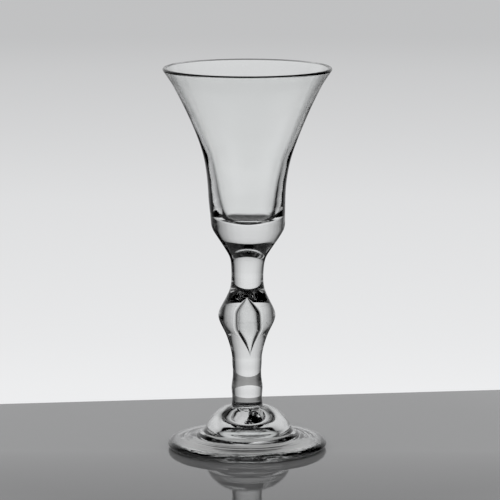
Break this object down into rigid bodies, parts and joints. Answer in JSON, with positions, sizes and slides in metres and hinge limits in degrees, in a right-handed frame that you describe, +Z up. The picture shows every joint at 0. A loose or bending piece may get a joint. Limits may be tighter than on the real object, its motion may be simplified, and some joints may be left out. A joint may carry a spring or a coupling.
{
  "type": "wine glass",
  "caption": "Free-blown wine glass: waisted bell bowl with a solid base, inverted baluster stem with a tear of air, domed and terraced foot.",
  "frame": {"origin": "on the table, under the centre of the foot", "axes": "+Z up along the glass's axis, from the foot to the lip; the glass is round about it"},
  "size_m": [0.0722, 0.0722, 0.165],
  "materials": {
    "bowl_glass": "clear, fire polished, faint grey tint",
    "stem_glass": "clear, fire polished, faint grey tint",
    "foot_glass": "clear, with fine tooling rings",
    "scar_glass": "broken, rough and glittering"
  },
  "bodies": {
    "root": {"bowl": "bowl_glass", "upper_stem_gather": "stem_glass", "lower_stem_gather": "stem_glass", "domed_foot": "foot_glass", "pontil_scar": "scar_glass"}
  },
  "joints": []
}
